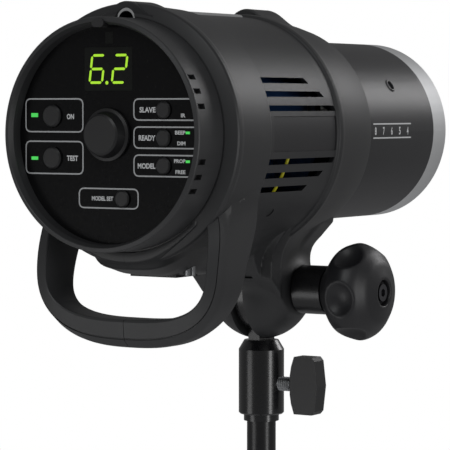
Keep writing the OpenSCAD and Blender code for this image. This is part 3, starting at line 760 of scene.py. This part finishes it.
def bent_rod(name, path, r, body, slot):
    """Round rod along a list of points in the head's frame."""
    loops = []
    for i, point in enumerate(path):
        p = Vector(point)
        way = (Vector(path[min(i + 1, len(path) - 1)]) - Vector(path[max(i - 1, 0)])).normalized()
        side = way.cross(Vector((0, 1, 0.2))).normalized()
        other = way.cross(side)
        loops.append([p + (side * math.cos(a) + other * math.sin(a)) * r
                      for a in (2 * math.pi * k / ROD_SIDES for k in range(ROD_SIDES))])
    points, faces = loops_to_mesh([[tuple(p) for p in loop] for loop in loops])
    return add_mesh(name, points, faces, body, slot)


# The lead runs close inside the casing between two angles below the side, and leans forwards; its faint
# yellow glow is a painted glint, standing in for the light seen through the slots
LEAD_R, LEAD_START, LEAD_END, LEAD_Y = 57.4, -8.0, -36.0, 90
lead_path = []
for angle in np.linspace(LEAD_START, LEAD_END, 16):
    turn = math.radians(angle)
    lead_path.append((LEAD_R * math.cos(turn), LEAD_Y + angle / 6, LEAD_R * math.sin(turn)))
lead = bent_rod("inner_lead_painted_glint", lead_path, 0.75, "head", "inner_plastic")
# Painted glint: the lead gets a glowing material, though it is no lamp
lead.data.materials.clear()
lead.data.materials.append(PRINT["lead"])


# ---------------------------------------- printed marks
LETTER_WEIGHT = 0.035
# How far the print stands off the panel and off the barrel
PRINT_PROUD, SCALE_PROUD = 0.06, 0.05


def letters(text):
    """Points and faces of a short text, as wide as it comes, with capitals one unit high."""
    curve = bpy.data.curves.new("letters", "FONT")
    curve.body, curve.size, curve.offset = text, 1.0, LETTER_WEIGHT
    curve.resolution_u = 3
    holder = bpy.data.objects.new("letters", curve)
    bpy.context.scene.collection.objects.link(holder)
    bpy.context.view_layer.update()
    mesh = bpy.data.meshes.new_from_object(holder.evaluated_get(bpy.context.evaluated_depsgraph_get()))
    bpy.data.objects.remove(holder)
    points = np.array([v.co for v in mesh.vertices])
    faces = [tuple(p.vertices) for p in mesh.polygons]
    points[:, :2] -= points[:, :2].min(0)
    points /= points[:, 1].max()
    return points, faces


def printed(name, text, height, width, place, align=0.5):
    """White text of a given size: place(u, v) gives the surface point, u across and v up."""
    points, faces = letters(text)
    u = points[:, 0] * width / points[:, 0].max() - width * align
    v = points[:, 1] * height - height / 2
    return ink_piece(name, [place(a, b) for a, b in zip(u, v)], faces, "white")


def ink_piece(name, points, faces, ink):
    """Thin printed piece that rides with the head."""
    obj = add_mesh(name, points, faces, "head", "panel")
    obj.data.materials.clear()
    obj.data.materials.append(PRINT[ink])
    return obj


def on_panel(x, z):
    """Function that places print on the panel round the point x, z."""
    return lambda u, v: (x + u, PANEL_DEPTH - PRINT_PROUD, z + v)


def strip_outline(path, width, closed):
    """Points and faces of a flat line of given width along a (u, v) path."""
    count = len(path)
    sides = []
    for i in range(count):
        p = Vector(path[i])
        before = Vector(path[i - 1]) if (closed or i) else p * 2 - Vector(path[1])
        after = Vector(path[(i + 1) % count]) if (closed or i < count - 1) else p * 2 - Vector(path[i - 1])
        along = (after - before).normalized()
        across = Vector((-along.y, along.x)) * width / 2
        sides.append([tuple(p - across), tuple(p + across)])
    return loops_to_mesh(sides, closed_ring=False, closed_path=closed, caps=False)


def printed_line(name, path, width, place, ink="grey", closed=False):
    """Line of ink along a (u, v) path."""
    points, faces = strip_outline(path, width, closed)
    return ink_piece(name, [place(u, v) for u, v in points], faces, ink)


def rounded_box(x0, x1, z0, z1, r):
    """Closed path of a box with round corners."""
    return round_corners([(x0, z0), (x1, z0), (x1, z1), (x0, z1)], [r] * 4, 6)


FRAME_LINE, FRAME_R = 0.7, 3.0
# Left, right, low and high edge of each closed frame; the frames on the right run out to the rim
CLOSED_FRAMES = {"on_frame": (-50.3, -15.3, 1.3, 17.7), "test_frame": (-50.3, -15.3, -19.6, -3.5),
                 "model_set_frame": (-17.6, 17.6, -36.2, -26.6)}
for name, (x0, x1, z0, z1) in CLOSED_FRAMES.items():
    printed_line(name, rounded_box(x0, x1, z0, z1, FRAME_R), FRAME_LINE, on_panel(0, 0), closed=True)
RIGHT_FRAMES_X = 15.2
RIGHT_FRAMES = {"slave_frame": (7.3, 17.6), "ready_frame": (-6.4, 3.9), "model_frame": (-20.1, -9.8)}
for name, (z0, z1) in RIGHT_FRAMES.items():
    ends = [math.sqrt(PANEL_R ** 2 - z * z) - 0.4 for z in (z0, z1)]
    corners = [(RIGHT_FRAMES_X, z0), (RIGHT_FRAMES_X, z1), (30, z1), (30, z0)]
    path = [(ends[0], z0)] + round_corners(corners, [FRAME_R, FRAME_R, 0, 0], 6)[:14] + [(ends[1], z1)]
    printed_line(name, path, FRAME_LINE, on_panel(0, 0))
# Each label: text, the side it is lined up on (0 left, 1 right) and its x there, middle z, height and width
LABELS = [("ON", 0, -25.1, 8.9, 2.7, 4.4), ("TEST", 0, -25.1, -11.8, 2.7, 6.8),
          ("SLAVE", 0, 18.5, 12.3, 2.7, 9.4), ("READY", 0, 18.0, -1.4, 2.7, 9.8),
          ("MODEL", 0, 17.4, -15.1, 2.7, 10.4), ("MODEL SET", 0, -10.0, -31.5, 2.2, 12.8),
          ("IR", 1, 45.2, 9.6, 1.9, 2.6), ("BEEP", 1, 45.2, 1.3, 1.9, 6.0),
          ("DIM", 1, 45.2, -3.9, 1.9, 4.7), ("PROP", 1, 45.2, -12.5, 1.9, 6.6),
          ("FREE", 1, 45.2, -17.8, 1.9, 5.8)]
for text, align, x, z, height, width in LABELS:
    printed("label_" + text.lower().replace(" ", "_"), text, height, width, on_panel(x, z), align=align)

# ---------------------------------------- display digits
SEGMENT_LEAN, SEGMENT_W, SEGMENT_GAP, DIGIT_W, DIGIT_H = 0.13, 1.25, 0.35, 7.5, 13.4
DIGIT_PROUD, DIGIT_Z, POINT_R = 0.08, 25.7, 0.9
SEGMENTS = {"a": ((0, 1), (1, 1)), "b": ((1, 0.5), (1, 1)), "c": ((1, 0), (1, 0.5)), "d": ((0, 0), (1, 0)),
            "e": ((0, 0), (0, 0.5)), "f": ((0, 0.5), (0, 1)), "g": ((0, 0.5), (1, 0.5))}


def digit(name, lit, x, z):
    """One seven-segment figure with pointed segment ends, low left corner at x, z."""
    points, faces = [], []
    for key in lit:
        a, b = [Vector((u * DIGIT_W, v * DIGIT_H)) for u, v in SEGMENTS[key]]
        along = (b - a).normalized()
        across = Vector((-along.y, along.x)) * SEGMENT_W / 2
        a, b = a + along * SEGMENT_GAP, b - along * SEGMENT_GAP
        tip = along * SEGMENT_W / 2
        outline = [a, a + tip - across, b - tip - across, b, b - tip + across, a + tip + across]
        faces.append(tuple(range(len(points), len(points) + 6)))
        points += [(x + p.x + p.y * SEGMENT_LEAN, PANEL_DEPTH - DIGIT_PROUD, z + p.y) for p in outline]
    return ink_piece(name, points, faces, "lime")


digit("digit_units", "acdefg", -11.2, DIGIT_Z)
digit("digit_tenths", "abdeg", 2.2, DIGIT_Z)
POINT_X, POINT_Z = -0.8, 25.6
point_outline = [(POINT_X + POINT_R * math.cos(a), PANEL_DEPTH - DIGIT_PROUD, POINT_Z + POINT_R * math.sin(a))
                 for a in np.linspace(0, 2 * math.pi, 16, endpoint=False)]
ink_piece("digit_point", point_outline, [tuple(range(16))], "lime")

# ---------------------------------------- focus scale on the barrel
def on_barrel(y, z):
    """Function that places print on the right of the barrel round depth y and height z."""
    r = BARREL_R + SCALE_PROUD
    return lambda u, v: (r * math.cos(math.asin((z + v) / r)), y + u, z + v)


SCALE_START, SCALE_END, FIGURE_STEP = 190.5, 234.8, 9.4
for name, height in (("scale_line_top", 4.3), ("scale_line_low", -3.4)):
    printed_line(name, [(u, 0) for u in np.linspace(SCALE_START, SCALE_END, 24)], 0.75,
                 on_barrel(0, height), "white")
for i, figure in enumerate("87654"):
    printed("scale_" + figure, figure, 4.4, 2.0, on_barrel(SCALE_START + 2.5 + i * FIGURE_STEP, 0.4))

# ---------------------------------------- rounded edges of the CAD nodes
EDGE_ROUNDS = {"rear_bezel": 0.45, "front_ring": 0.3, "front_barrel": 0.25, "energy_dial": 0.5,
               "on_button": 0.35, "test_button": 0.35, "slave_button": 0.3, "ready_button": 0.3,
               "model_button": 0.3, "model_set_button": 0.3, "socket_body": 0.35, "knob_spacer": 0.3,
               "wing_knob": 1.2, "sensor_dome": 0.5, "mains_inlet": 0.3, "side_plate_left": 0.15,
               "side_plate_right": 0.15}
for node_name, width in EDGE_ROUNDS.items():
    bevel(frame["nodes"][node_name], width)
